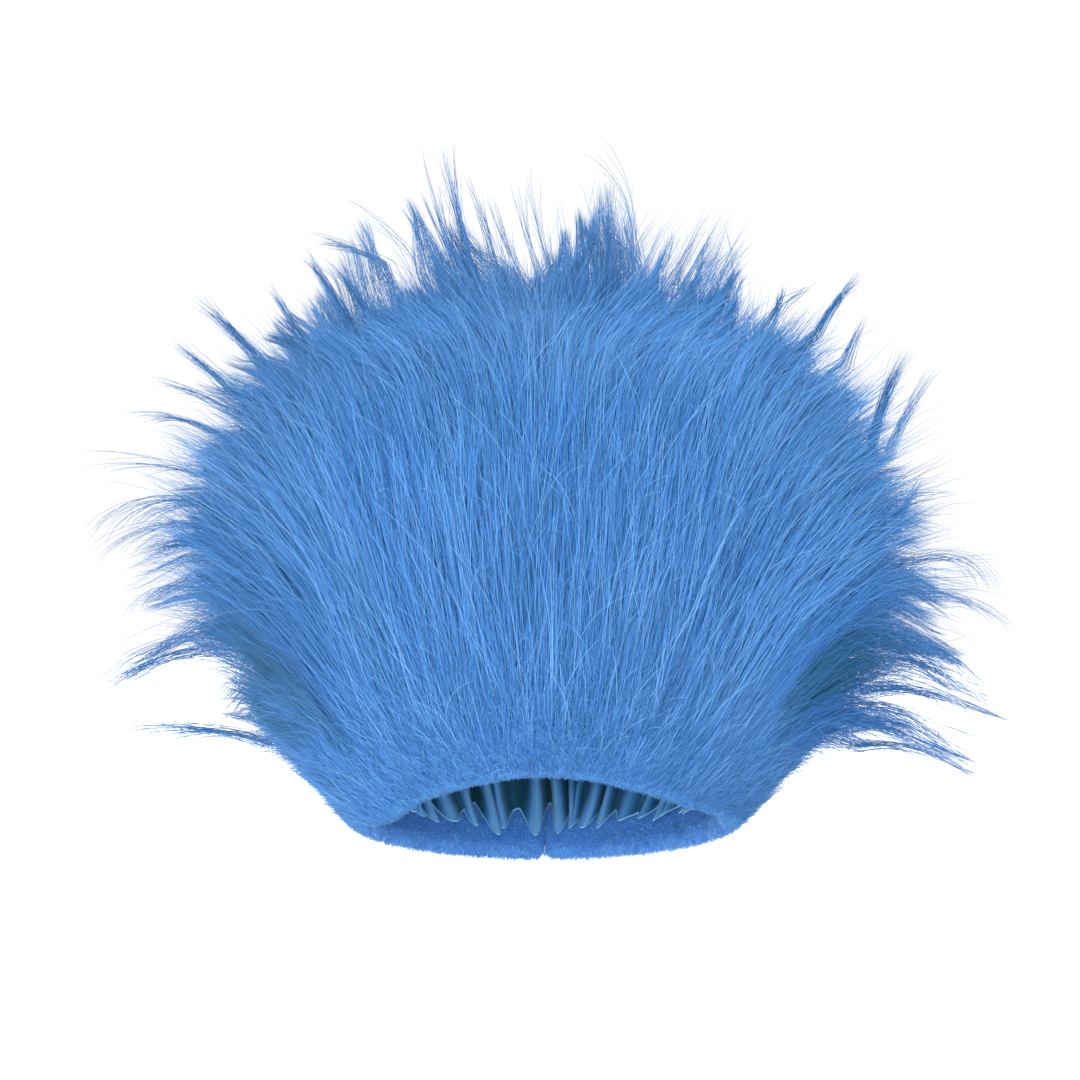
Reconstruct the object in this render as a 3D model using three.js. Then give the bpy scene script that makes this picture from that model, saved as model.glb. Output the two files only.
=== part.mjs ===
// A shaggy fur hair cap for a puppet's head: long pile on a knitted backing, soft wadding,
// a satin lining that ends in a gathered frill, and an elasticated opening bound in short plush.
//
// Millimetres, +Z up, +X to the wearer's left as the cap is seen from the front, which faces -Y.
// The origin is the centre of the head opening.
import * as THREE from 'three';

// Shell: the outer face of the knitted backing, which every layer is measured from.
const RIM_HALF_WIDTH = 82;
const WAIST_HALF_WIDTH = 119;
const WAIST_HALF_DEPTH = 100;
const WAIST_HEIGHT = 100;
const CROWN_HEIGHT = 208;
const CROWN_SQUARENESS = 2.4;
const NAPE_DROP = 16.6; // the nape edge hangs this far below the origin, the brow edge as far above
const RIM_SAG = 2.5; // the edge hangs this much lower all round
const BROW_BOW = 3; // the brow edge bows up by twice this
const BROW_POINT = 2; // and this draws its bow in towards the middle
const CROWN_HOLE = 2.5; // radius of the point at the crown where all the panels meet

// Layers, as depths in from the shell.
const BACKING = { outer: 0, inner: -1.6 };
const WADDING = { outer: -1.9, inner: -5.9 };
const LINING = { outer: -6.9, inner: -7.7 };
const TOUCH_GAP = 0.3; // between any two layers or panels that touch
const SEAM_GAP = 1.4; // between two panels of fur fabric, where the seam's thread runs

// Heights above the rim where each layer begins or ends.
const BAND_TOP = 17;
const BAND_FACING_TOP = 18;
const FRILL_TOP = 48;

// Elasticated binding at the opening.
const BAND_CLOTH = 2;
const BAND_WIDTH = 9.2;
const BAND_FOLD = 3;
const ELASTIC = { outer: -3.6, inner: -5.2, bottom: 0.5, top: 6.5 };
const THREAD_RADIUS = 0.35;
const CASING_THREAD_DEPTH = -6.3;
const CASING_THREAD_HEIGHT = 7.9;

// Frill: the gathered lower edge of the lining.
const FRILL_HEM = 8.5; // height of its hem above the rim
const FRILL_PLEATS = 14; // in each half
const FRILL_WAVE = 2.4;
const FRILL_STAND = 3.8; // how far it stands in from the lining, so that it hangs inside the facing

// Pile.
const PILE_AT_RIM = 5;
const PILE_BODY = 30;
const PILE_FULL_AT = 75; // height above the rim where the pile reaches its full body
const PILE_LEAN = 0.3; // towards the crown, at the waist; none at the crown itself
const TIP_LIFT = { brow: 14, nape: 34, side: 52, crown: 46 };

// How finely the shell is divided: columns and rim stations round each half, rows up to the crown.
const HALF_COLUMNS = 16;
const SKIRT_ROWS = 2;
const DOME_ROWS = 9;
const RIM_STATIONS = 28;
const FRILL_ROWS = 2;
const THREAD_SIDES = 6;
const CROWN_THREAD_STEPS = 56;
const NUDGE = 1e-3;

const QUARTER_TURN = Math.PI / 2;
const HALF_TURN = Math.PI;
const RIM_CLIMB = -Math.acos(RIM_HALF_WIDTH / WAIST_HALF_WIDTH);
const SKIRT_RADIUS = WAIST_HEIGHT / Math.sin(-RIM_CLIMB);
const CROWN_RISE = CROWN_HEIGHT - WAIST_HEIGHT;
const TOP_CLIMB = Math.acos((CROWN_HOLE / WAIST_HALF_DEPTH) ** (CROWN_SQUARENESS / 2));

// The panels, as turns about +Z: -90 degrees is the brow, 90 degrees is the nape.
const PANELS = {
  front: [-HALF_TURN, 0],
  rear_right: [0, QUARTER_TURN],
  rear_left: [QUARTER_TURN, HALF_TURN],
};
const HALVES = {
  front: PANELS.front,
  rear: [PANELS.rear_right[0], PANELS.rear_left[1]],
};

const FABRIC_ROUGHNESS = 0.9;
const SATIN_ROUGHNESS = 0.45;

function cloth(color, roughness = FABRIC_ROUGHNESS) {
  return new THREE.MeshStandardMaterial({ color, roughness, metalness: 0 });
}

const materials = {
  pile: cloth(0x4a8ad6),
  plush: cloth(0x3f72c8),
  backing: cloth(0x2a6aa8),
  wadding: cloth(0xe6e8ea),
  satin: cloth(0x2a78b0, SATIN_ROUGHNESS),
  elastic: cloth(0xf0f0ee, 0.7),
  thread: cloth(0x2f66b4, 0.6),
};

// --- The shell surface -------------------------------------------------------------------------

/** The climb angle at a height above the rim, up to the waist. */
function climbAt(height) {
  return -Math.asin((WAIST_HEIGHT - height) / SKIRT_RADIUS);
}

/** How far the rim stands above the origin at a turn: arched at the brow, and low at the nape. */
function rimRise(turn) {
  const sides = 1 - Math.cos(2 * turn);
  const corners = 1 - Math.cos(4 * turn);
  const arch = Math.sin(turn) < 0 ? BROW_BOW * sides - BROW_POINT * corners : 0;
  return arch - RIM_SAG - NAPE_DROP * Math.sin(turn);
}

/** A point on the shell. Above the waist it is a rounded square dome, below it draws in to the rim. */
function shellPoint(turn, climb) {
  const power = climb > 0 ? 2 / CROWN_SQUARENESS : 1;
  const reach = Math.sign(Math.cos(climb)) * Math.abs(Math.cos(climb)) ** power;
  const lift = climb > 0 ? CROWN_RISE * Math.sin(climb) ** power : SKIRT_RADIUS * Math.sin(climb);
  const tilt = climb > 0 ? 0 : (climb / RIM_CLIMB) ** 1.5;
  return new THREE.Vector3(
    WAIST_HALF_WIDTH * reach * Math.cos(turn),
    WAIST_HALF_DEPTH * reach * Math.sin(turn),
    WAIST_HEIGHT + lift + tilt * rimRise(turn),
  );
}

/** The direction up the shell at a point, towards the crown. */
function shellUp(turn, climb) {
  return shellPoint(turn, climb + NUDGE).sub(shellPoint(turn, climb - NUDGE)).normalize();
}

/** The outward normal of the shell. */
function shellNormal(turn, climb) {
  const across = shellPoint(turn + NUDGE, climb).sub(shellPoint(turn - NUDGE, climb));
  return across.cross(shellUp(turn, climb)).normalize();
}

/** A point at a depth from the shell: positive stands out of it, negative lies inside it. */
function layerPoint(turn, climb, depth) {
  return shellPoint(turn, climb).addScaledVector(shellNormal(turn, climb), depth);
}

/** The turn at a share of the way across a panel, whose edges keep a gap of constant width. */
function turnAcross([from, to], share, climb, gap) {
  const reach = Math.hypot(...shellPoint(from, climb).toArray().slice(0, 2));
  const margin = gap / 2 / reach;
  return THREE.MathUtils.lerp(from + margin, to - margin, share);
}

// --- Closed solids -----------------------------------------------------------------------------

/** A mesh geometry from points and triangles, turned so that its faces point out. */
function closedGeometry(points, triangles) {
  let volume = 0;
  for (const [a, b, c] of triangles) {
    volume += points[a].dot(points[b].clone().cross(points[c]));
  }
  const facing = volume > 0 ? triangles : triangles.map(([a, b, c]) => [a, c, b]);
  const geometry = new THREE.BufferGeometry();
  geometry.setFromPoints(points);
  geometry.setIndex(facing.flat());
  geometry.computeVertexNormals();
  return geometry;
}

/** The walls that join two grids of points around their border. */
function borderWalls(columns, rows, near, far) {
  const border = [];
  for (let i = 0; i < columns; i += 1) border.push([i, 0]);
  for (let j = 0; j < rows; j += 1) border.push([columns, j]);
  for (let i = columns; i > 0; i -= 1) border.push([i, rows]);
  for (let j = rows; j > 0; j -= 1) border.push([0, j]);
  return border.flatMap(([i, j], k) => {
    const [m, n] = border[(k + 1) % border.length];
    return [
      [near(i, j), far(m, n), near(m, n)],
      [near(i, j), far(i, j), far(m, n)],
    ];
  });
}

/** A closed solid between two sheets over one grid. With a tip, each cell of the outer sheet is a tuft. */
function sheetSolid(columns, rows, outerPoint, innerPoint, tipPoint = null) {
  const points = [];
  for (const sheet of [outerPoint, innerPoint]) {
    for (let j = 0; j <= rows; j += 1) {
      for (let i = 0; i <= columns; i += 1) points.push(sheet(i / columns, j / rows));
    }
  }
  const outer = (i, j) => j * (columns + 1) + i;
  const inner = (i, j) => (rows + 1) * (columns + 1) + outer(i, j);
  const triangles = borderWalls(columns, rows, outer, inner);
  for (let j = 0; j < rows; j += 1) {
    for (let i = 0; i < columns; i += 1) {
      const corners = [outer(i, j), outer(i + 1, j), outer(i + 1, j + 1), outer(i, j + 1)];
      triangles.push([inner(i, j), inner(i + 1, j + 1), inner(i + 1, j)]);
      triangles.push([inner(i, j), inner(i, j + 1), inner(i + 1, j + 1)]);
      if (tipPoint) {
        const tip = points.push(tipPoint(i, j)) - 1;
        corners.forEach((corner, k) => triangles.push([corner, corners[(k + 1) % 4], tip]));
      } else {
        triangles.push([corners[0], corners[1], corners[2]], [corners[0], corners[2], corners[3]]);
      }
    }
  }
  return closedGeometry(points, triangles);
}

/** A closed solid swept through rings of points, one ring for each station, with a cap at each end. */
function sweptSolid(corners, stations, pointAt) {
  const outline = THREE.ShapeUtils.isClockWise(corners) ? [...corners].reverse() : corners;
  const points = [];
  for (let k = 0; k <= stations; k += 1) {
    for (const corner of outline) points.push(pointAt(k / stations, corner));
  }
  const count = outline.length;
  const triangles = [];
  for (let k = 0; k < stations; k += 1) {
    for (let i = 0; i < count; i += 1) {
      const a = k * count + i;
      const b = k * count + ((i + 1) % count);
      triangles.push([a, b, b + count], [a, b + count, a + count]);
    }
  }
  for (const [a, b, c] of THREE.ShapeUtils.triangulateShape(outline, [])) {
    const last = stations * count;
    triangles.push([a, c, b], [last + a, last + b, last + c]);
  }
  return closedGeometry(points, triangles);
}

// --- Pieces ------------------------------------------------------------------------------------

/** Divisions of a panel, as its share of the divisions of a half. */
function divisions([from, to], inHalf) {
  return Math.round((inHalf * (to - from)) / HALF_TURN);
}

/** The climbs of the rows that all layers share, so that their faces lie parallel. */
function rowClimbs() {
  const bandTop = BAND_TOP + 2 * TOUCH_GAP;
  const frillTop = FRILL_TOP + TOUCH_GAP;
  const skirt = Array.from({ length: SKIRT_ROWS }, (_, k) =>
    climbAt(THREE.MathUtils.lerp(bandTop, frillTop, k / SKIRT_ROWS)),
  );
  const dome = Array.from({ length: DOME_ROWS + 1 }, (_, k) =>
    THREE.MathUtils.lerp(climbAt(frillTop), TOP_CLIMB, k / DOME_ROWS),
  );
  return [...skirt, ...dome];
}

/** One panel of a plain layer over the given rows, up to the crown. */
function layerPanel(panel, layer, climbs, gap) {
  const rows = climbs.length - 1;
  const pointAt = (depth) => (share, rise) => {
    const climb = climbs[Math.round(rise * rows)];
    return layerPoint(turnAcross(panel, share, climb, gap), climb, depth);
  };
  return sheetSolid(divisions(panel, HALF_COLUMNS), rows, pointAt(layer.outer), pointAt(layer.inner));
}

/** The depth of the pile's solid body at a climb: thin where it is combed up off the rim. */
function pileBody(climb) {
  const height = climb > 0 ? PILE_FULL_AT : WAIST_HEIGHT + SKIRT_RADIUS * Math.sin(climb);
  return THREE.MathUtils.lerp(PILE_AT_RIM, PILE_BODY, THREE.MathUtils.smoothstep(height, 0, PILE_FULL_AT));
}

/** How far a tuft's tip stands above the pile's body: most at the sides and crown, least at the brow. */
function tipLift(turn, climb, column, row) {
  const side = Math.cos(turn) ** 2;
  const ends = Math.sin(turn) < 0 ? TIP_LIFT.brow : TIP_LIFT.nape;
  const around = THREE.MathUtils.lerp(ends, TIP_LIFT.side, side);
  const crown = THREE.MathUtils.smoothstep(climb, 0.5, 1.2);
  const full = THREE.MathUtils.lerp(around, TIP_LIFT.crown, crown);
  const body = pileBody(climb) / PILE_BODY;
  const uneven = 0.8 + 0.2 * Math.cos(2.4 * column + 1.9 * row);
  return full * body * uneven;
}

/** The long pile that grows out of one backing panel, as a solid body with a tip on each tuft. */
function pilePanel(panel, climbs) {
  const columns = divisions(panel, HALF_COLUMNS);
  const rows = climbs.length - 1;
  const place = (share, rise) => {
    const row = Math.floor(rise * rows + NUDGE);
    const climb = THREE.MathUtils.lerp(climbs[row], climbs[Math.min(row + 1, rows)], rise * rows - row);
    return [turnAcross(panel, share, climb, SEAM_GAP), climb];
  };
  const standing = (turn, climb, depth) => {
    const lean = PILE_LEAN * Math.cos(climb) ** 2;
    const direction = shellNormal(turn, climb).addScaledVector(shellUp(turn, climb), lean);
    return layerPoint(turn, climb, TOUCH_GAP).addScaledVector(direction.normalize(), depth);
  };
  const root = (share, rise) => layerPoint(...place(share, rise), TOUCH_GAP);
  const body = (share, rise) => {
    const [turn, climb] = place(share, rise);
    return standing(turn, climb, pileBody(climb));
  };
  const tip = (column, row) => {
    const [turn, climb] = place((column + 0.5) / columns, (row + 0.5) / rows);
    return standing(turn, climb, pileBody(climb) + tipLift(turn, climb, column, row));
  };
  return sheetSolid(columns, rows, body, root, tip);
}

/** A piece swept round part of the rim from an outline of depths and heights. */
function rimPiece([from, to], outline, stations, gap) {
  const margin = gap / 2 / RIM_HALF_WIDTH;
  return sweptSolid(outline, stations, (share, corner) => {
    const turn = THREE.MathUtils.lerp(from + margin, to - margin, share);
    return layerPoint(turn, climbAt(corner.y), corner.x);
  });
}

/** The outline of the binding: a channel that folds under the rim, with a leg outside and a leg inside. */
function bandOutline() {
  const face = 0.2;
  const outside = [
    new THREE.Vector2(face, BAND_TOP),
    new THREE.Vector2(face, 1),
    new THREE.Vector2(face - 1, 1 - BAND_CLOTH),
    new THREE.Vector2(face - BAND_FOLD, -BAND_FOLD),
    new THREE.Vector2(face - BAND_WIDTH + BAND_FOLD, -BAND_FOLD),
    new THREE.Vector2(face - BAND_WIDTH + 1, 1 - BAND_CLOTH),
    new THREE.Vector2(face - BAND_WIDTH, 1),
    new THREE.Vector2(face - BAND_WIDTH, BAND_FACING_TOP),
  ];
  const inside = [
    new THREE.Vector2(face - BAND_WIDTH + BAND_CLOTH, BAND_FACING_TOP),
    new THREE.Vector2(face - BAND_WIDTH + BAND_CLOTH, 1),
    new THREE.Vector2(face - BAND_WIDTH / 2, 1 - BAND_CLOTH),
    new THREE.Vector2(face - BAND_CLOTH, 1),
    new THREE.Vector2(face - BAND_CLOTH, BAND_TOP),
  ];
  return [...outside, ...inside];
}

/** The outline of the flat elastic that lies in the channel. */
function elasticOutline() {
  return [
    new THREE.Vector2(ELASTIC.outer, ELASTIC.bottom),
    new THREE.Vector2(ELASTIC.inner, ELASTIC.bottom),
    new THREE.Vector2(ELASTIC.inner, ELASTIC.top),
    new THREE.Vector2(ELASTIC.outer, ELASTIC.top),
  ];
}

/** A round outline for a thread, about a centre. */
function threadOutline(x, y) {
  return Array.from({ length: THREAD_SIDES }, (_, k) => {
    const angle = (2 * Math.PI * k) / THREAD_SIDES;
    return new THREE.Vector2(x + THREAD_RADIUS * Math.cos(angle), y + THREAD_RADIUS * Math.sin(angle));
  });
}

/** Half of the gathered frill: flat where it meets the lining, and waved at its hem inside the facing. */
function frillHalf(half) {
  const samplesPerPleat = 5;
  const columns = FRILL_PLEATS * samplesPerPleat;
  const mid = (LINING.outer + LINING.inner) / 2;
  const sheet = (side) => (share, rise) => {
    const climb = climbAt(THREE.MathUtils.lerp(FRILL_HEM, FRILL_TOP, rise));
    const wave = FRILL_WAVE * (1 - rise);
    const stand = FRILL_STAND * Math.min(1, FRILL_ROWS * (1 - rise));
    const fold = wave * Math.cos(2 * Math.PI * FRILL_PLEATS * share);
    const depth = mid - stand - wave + fold + (side * (LINING.outer - LINING.inner)) / 2;
    return layerPoint(turnAcross(half, share, climb, 2 * TOUCH_GAP), climb, depth);
  };
  return sheetSolid(columns, FRILL_ROWS, sheet(1), sheet(-1));
}

/** A seam's thread, laid in the gap between two backing panels along a route of turns and climbs. */
function seamThread(steps, route) {
  const depth = (BACKING.outer + BACKING.inner) / 2;
  const path = new THREE.CatmullRomCurve3(
    Array.from({ length: steps + 1 }, (_, k) => layerPoint(...route(k / steps), depth)),
  );
  const section = new THREE.Shape(threadOutline(0, 0));
  return new THREE.ExtrudeGeometry(section, { steps, extrudePath: path });
}

/** The route of the seam over the crown, from one side of the opening to the other. */
function crownSeamRoute(share) {
  const bottom = climbAt(BAND_TOP + 1);
  const swing = THREE.MathUtils.lerp(bottom, HALF_TURN - bottom, share);
  return swing < QUARTER_TURN ? [0, swing] : [HALF_TURN, HALF_TURN - swing];
}

/** The route of the centre back seam, from the nape to just short of the crown. */
function backSeamRoute(share) {
  return [QUARTER_TURN, THREE.MathUtils.lerp(climbAt(BAND_TOP + 1), TOP_CLIMB, share)];
}

// --- Assembly ----------------------------------------------------------------------------------

const cap = new THREE.Group();

function add(name, geometry, material) {
  const mesh = new THREE.Mesh(geometry, material);
  mesh.name = name;
  cap.add(mesh);
}

const allRows = rowClimbs();
const rowsAboveFrill = allRows.slice(SKIRT_ROWS);

for (const [name, panel] of Object.entries(PANELS)) {
  const bandStations = divisions(panel, RIM_STATIONS);
  add(`pile_${name}`, pilePanel(panel, allRows), materials.pile);
  add(`backing_${name}`, layerPanel(panel, BACKING, allRows, SEAM_GAP), materials.backing);
  add(`wadding_${name}`, layerPanel(panel, WADDING, allRows, 2 * TOUCH_GAP), materials.wadding);
  add(`lining_${name}`, layerPanel(panel, LINING, rowsAboveFrill, 2 * TOUCH_GAP), materials.satin);
  add(`rim_band_${name}`, rimPiece(panel, bandOutline(), bandStations, 2 * TOUCH_GAP), materials.plush);
}

for (const [name, half] of Object.entries(HALVES)) {
  const casingThread = threadOutline(CASING_THREAD_DEPTH, CASING_THREAD_HEIGHT);
  add(`lining_frill_${name}`, frillHalf(half), materials.satin);
  add(`elastic_${name}`, rimPiece(half, elasticOutline(), RIM_STATIONS, 2 * TOUCH_GAP), materials.elastic);
  add(`casing_thread_${name}`, rimPiece(half, casingThread, RIM_STATIONS, 2 * TOUCH_GAP), materials.thread);
}

add('crown_seam_thread', seamThread(CROWN_THREAD_STEPS, crownSeamRoute), materials.thread);
add('back_seam_thread', seamThread(CROWN_THREAD_STEPS / 2, backSeamRoute), materials.thread);

export default cap;
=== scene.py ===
"""A shaggy blue fur hair cap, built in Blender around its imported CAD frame. Everything is in metres."""

import math
from types import SimpleNamespace

import bpy
import numpy as np
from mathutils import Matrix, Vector
from mathutils.kdtree import KDTree


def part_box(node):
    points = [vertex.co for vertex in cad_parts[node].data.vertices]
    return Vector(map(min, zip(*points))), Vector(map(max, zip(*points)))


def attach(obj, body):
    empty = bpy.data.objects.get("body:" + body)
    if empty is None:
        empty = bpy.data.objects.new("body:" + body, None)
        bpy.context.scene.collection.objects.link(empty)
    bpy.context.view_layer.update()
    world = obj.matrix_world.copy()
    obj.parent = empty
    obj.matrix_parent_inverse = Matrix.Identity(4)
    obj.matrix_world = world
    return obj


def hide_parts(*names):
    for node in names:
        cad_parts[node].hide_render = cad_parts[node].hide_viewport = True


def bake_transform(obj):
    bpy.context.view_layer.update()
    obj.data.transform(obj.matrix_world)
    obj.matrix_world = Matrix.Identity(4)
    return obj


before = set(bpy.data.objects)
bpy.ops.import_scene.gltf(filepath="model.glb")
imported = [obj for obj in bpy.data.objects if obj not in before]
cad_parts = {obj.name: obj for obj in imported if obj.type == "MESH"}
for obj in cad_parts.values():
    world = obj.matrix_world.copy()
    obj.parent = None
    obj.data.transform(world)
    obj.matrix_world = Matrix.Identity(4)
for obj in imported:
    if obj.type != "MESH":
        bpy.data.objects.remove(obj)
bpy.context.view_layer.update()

# --- Driving dimensions ---

# The shell is the outer face of the knitted backing. Its size comes from the frame.
BACKING_NODES = ("backing_front", "backing_rear_right", "backing_rear_left")
shell_high = np.max([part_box(node)[1] for node in BACKING_NODES], axis=0)

WAIST_HALF_WIDTH = float(shell_high[0])
WAIST_HALF_DEPTH = float(shell_high[1])
CROWN_HEIGHT = float(shell_high[2])
WAIST_HEIGHT = 0.100
RIM_HALF_WIDTH = 0.082
CROWN_SQUARENESS = 2.4
NAPE_DROP = 0.0166
RIM_SAG = 0.0025
BROW_BOW = 0.003
BROW_POINT = 0.002
LEFT_DIP = 0.0045  # the brow edge falls short of the left corner
BAND_TOP = 0.017  # heights above the rim
BAND_FACING_TOP = 0.021
FRILL_TOP = 0.048
CROWN_HOLE = 0.0004  # the shell stops this far short of its own top
TOUCH_GAP = 0.0003
SEAM_GAP = 0.0002

# Depths of the layers inside the shell.
BACKING = (0.0, -0.0016)
WADDING = (-0.0019, -0.0059)
WADDING_BULGE = -0.0008
LINING = (-0.0069, -0.0075)
LINING_DEPTH = -0.0073
LINING_THICKNESS = 0.0005

# The binding is a channel of plush cloth, and short plush stands on it.
BAND_FACE = 0.0002
BAND_CLOTH = 0.0016
BAND_WIDTH = 0.0092
BAND_FOLD = 0.0030
PINCH_WIDTH = 0.0026
PINCH_RISE = 0.0012
PLUSH_STRANDS = 38_000
PLUSH_RADIUS = 0.00012
PLUSH_LENGTH = 0.0020
BROW_FUZZ = 0.0012
PLUSH_STEPS = 2
PLUSH_PROBE = 0.0004  # the outline's run is measured this far to each side

# The frill: pleats in each half, how far they stand in at the hem, and how far the hem rises and dips.
FRILL_PLEATS = 30
FRILL_HEM = 0.0062
FRILL_STAND = 0.0036
FRILL_WAVE = 0.0030
FRILL_DIP = 0.0056
FRILL_GAP = 0.004  # in radians, at each end of each half
HEM_RADIUS = 0.00042
# The frill's fold marks are painted light: a painted highlight on the crests, and painted shade in the
# valleys and up inside.
PAINTED_FOLD_LIGHT = "painted_fold_light"  # light on the crests of the frill's folds and dark in its valleys

RIM_CLIMB = -math.acos(RIM_HALF_WIDTH / WAIST_HALF_WIDTH)
SKIRT_RADIUS = WAIST_HEIGHT / math.sin(-RIM_CLIMB)
CROWN_RISE = CROWN_HEIGHT - WAIST_HEIGHT
TOP_CLIMB = math.acos((CROWN_HOLE / WAIST_HALF_DEPTH) ** (CROWN_SQUARENESS / 2))
NUDGE = 1e-3  # the step, in radians, that slopes on the shell are measured over
SHARP_ANGLE = math.radians(50)

# Turns about +Z: -90 degrees is the brow and 90 degrees the nape.
FRONT = (-math.pi, 0.0)
REAR = (0.0, math.pi)
REAR_RIGHT = (0.0, math.pi / 2)
REAR_LEFT = (math.pi / 2, math.pi)

# How much pile there is, and how long.
PILE_STRANDS = 100_000
RIM_STRANDS = 24_000
BROW_STRANDS = 11_000
QUICK_SHARE = 1.0
PILE_LENGTH = 0.078
CROWN_SHARE = 0.72  # the length over the crown, as a share of the full length
TALL_SHARE = 0.7  # locks above this share of the full length stand in the tufts
COAT_LENGTH = 0.036
PILE_EDGE = 0.0025  # heights above the rim
RIM_COAT_TOP = 0.055
BROW_COAT_TOP = 0.024
STRAND_RADIUS = 0.00011
FLYAWAY_RADIUS = STRAND_RADIUS * 1.15
GUARD_STEPS = 8  # the steps that a long strand bends in
RIM_COAT_STEPS = 3

# The two layers: the share of the pile in each, and how its strands keep to their wisps. Pairs of numbers
# are for the middle of the brow and nape, and for the seam.
GUARD = SimpleNamespace(share=0.55, steps=GUARD_STEPS, looseness=0.3, pulls=(0.26, 0.96))
COAT = SimpleNamespace(share=0.45, steps=4, looseness=0.4, pulls=(0.3, 0.8))
LOCK_GAP = 0.0130
LOCK_WANDER = (1.5, 1.1)
WISP_GAP = 0.0040
WISP_WANDER = 0.8
WISP_HOLD = (0.12, 0.9)
WISP_SPREAD = 0.0016
STRAY_SHARE = (0.1, 0.08)
STRAY_SWAY = 4.0
STRAY_LOFT = 0.32
STRAY_PULL = 0.1

# A strand's shade, from 0 for dark to 1 for light, is its lock's, its wisp's and its own in these shares.
LOCK_SHADE = 0.1
WISP_SHADE = 0.22
STRAND_SHADE = 0.68
MEAN_SHADE = 0.47
SHADE_SPREAD = 1.25
SOFT_SHADING = 0.5  # how far strands take their normals from the shell below them
STRAND_MAP = "OFBake"  # a strand's shade runs across this map and its length runs up it
SKEW = np.array([0.31, -0.52, 0.79])  # strands have their sides across this way
MESH_TRIANGLES = 190_000  # the most in one piece of the pile

# Heights that the pile changes over.
RIM_EDGE = (0.004, 0.045)  # it turns from along the shell to its own way
SHOULDER = (0.10, 0.17)  # it shortens
UPPER_SIDE = (0.12, 0.20)  # it stops drooping, and more of it lies down
PARTING = (0.13, 0.20)  # it lies flatter on the brow and nape
CROWN_EDGE = (0.17, 0.20)  # the tufts hold more of it, and the coat shortens
CROWN_TOP = (0.18, 0.21)  # it follows the comb more closely

# The pile is combed away from a point on the middle line, whose height rises with the pile's own.
OUTLINE_HEART = ([0.0, 0.03, 0.06, 0.10, 0.15, 0.20], [-0.03, 0.0, 0.04, 0.083, 0.105, 0.10])
BROW_HEART = ([0.03, 0.08, 0.12, 0.15, 0.18, 0.21], [-0.26, -0.18, -0.06, 0.045, 0.13, 0.19])
BROW_REACH = 0.68  # how far from the seam the brow's comb takes over, as a share of the half depth
SIDE_FAN = (0.45, 0.88)  # shares of the half width over which the brow's comb gives way to the outline's
SEAM_BREADTH = (0.55, 0.8)  # how far the tufts' locks stand from the seam, low down and at the crown
FLATTEST = 0.92  # how far the comb can press the pile to the shell
COMB_FOLLOW = (0.3, 0.45)  # how far each step of a strand turns to the comb, low down and at the crown

# The tufts along the seam, from the right rim over the crown to the left rim: how far round the outline
# each starts, which way its tip points, and its length as a share of the pile's. Angles are in degrees
# from the right, about the middle of the outline.
TUFTS = [
    (-40, -16, 1.2), (-27, -18, 1.1), (-14, -22, 1.2), (-4, -28, 1.15),
    (5, 2, 0.68), (14, 10, 0.42), (25, 50, 0.52), (35, 52, 0.8),
    (45, 30, 0.9), (52, 62, 0.3), (63, 66, 0.28), (73, 64, 1.05),
    (80, 78, 1.1), (88, 96, 0.75), (98, 103, 1.0), (105, 101, 1.2),
    (112, 117, 1.1), (119, 150, 1.1), (127, 128, 1.15), (135, 166, 1.0),
    (143, 150, 1.2), (151, 196, 1.1), (160, 180, 0.62), (169, 212, 0.5),
    (178, 220, 1.1), (188, 206, 1.0), (199, 200, 0.85), (216, 180, 0.9),
]
# Fine wisps that stand away from the outline: where each leaves the pile, as x and z in millimetres, which
# way it sets out and which way its tip points, in degrees from the right, its length in millimetres, and
# its number of hairs.
FLYAWAYS = [
    (-136, 173, 150, 170, 36, 18), (-141, 162, 150, 192, 40, 26), (-134, 140, 155, 190, 62, 18),
    (-133, 126, 148, 238, 66, 34), (-136, 121, 163, 228, 58, 26), (-136, 114, 170, 200, 40, 40),
    (-149, 96, 165, 250, 34, 9), (-145, 76, 185, 238, 64, 16), (-150, 69, 190, 222, 44, 30),
    (-116, 31, 162, 194, 70, 44), (-120, 30, 158, 202, 74, 16), (137, 150, 82, 58, 50, 110),
    (144, 150, 70, 50, 46, 30), (152, 135, 10, -8, 22, 6), (147, 123, 66, 52, 24, 20),
    (156, 108, 20, -78, 44, 16), (151, 108, 4, 0, 40, 4), (159, 93, 5, -52, 44, 18),
    (156, 71, -8, -66, 44, 16), (146, 66, 0, -62, 54, 20), (139, 53, 10, -52, 52, 24),
    (139, 46, -5, -60, 40, 16), (132, 29, 8, -30, 42, 36), (-50, 225, 112, 165, 50, 6),
    (-68, 233, 150, 172, 36, 28), (-75, 211, 112, 142, 30, 40), (-84, 211, 118, 130, 32, 50),
    (-118, 190, 130, 144, 40, 64), (-132, 180, 136, 148, 32, 40), (-103, 203, 124, 120, 26, 30),
    (-35, 227, 112, 97, 60, 12), (-29, 227, 108, 98, 58, 36), (-21, 233, 103, 112, 42, 18),
    (-10, 225, 115, 104, 38, 14), (-2, 227, 110, 97, 50, 9), (2, 230, 106, 96, 46, 9),
    (12, 227, 62, 76, 34, 16), (16, 227, 68, 95, 42, 22), (26, 225, 85, 92, 46, 28),
    (36, 230, 78, 150, 62, 7), (41, 222, 45, 84, 30, 50), (63, 219, 85, 70, 24, 12),
    (80, 218, 85, 110, 34, 5), (94, 208, 55, 80, 18, 30), (102, 217, 30, 36, 15, 9),
    (114, 203, 62, 44, 32, 44), (126, 190, 70, 60, 24, 26),
]
# How long the pile along the outline is at each angle, as a share of its full length.
OUTLINE_LENGTHS = [
    (-50, 1), (-34, 1.3), (-26, 0.95), (-18, 1), (-6, 0.8), (6, 0.84), (14, 0.6),
    (30, 0.66), (38, 1), (54, 0.85), (62, 0.45), (70, 1.45), (86, 0.82), (102, 1.1),
    (118, 0.95), (134, 0.66), (150, 0.92), (166, 0.55), (174, 1), (182, 0.6), (190, 1),
]
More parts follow.
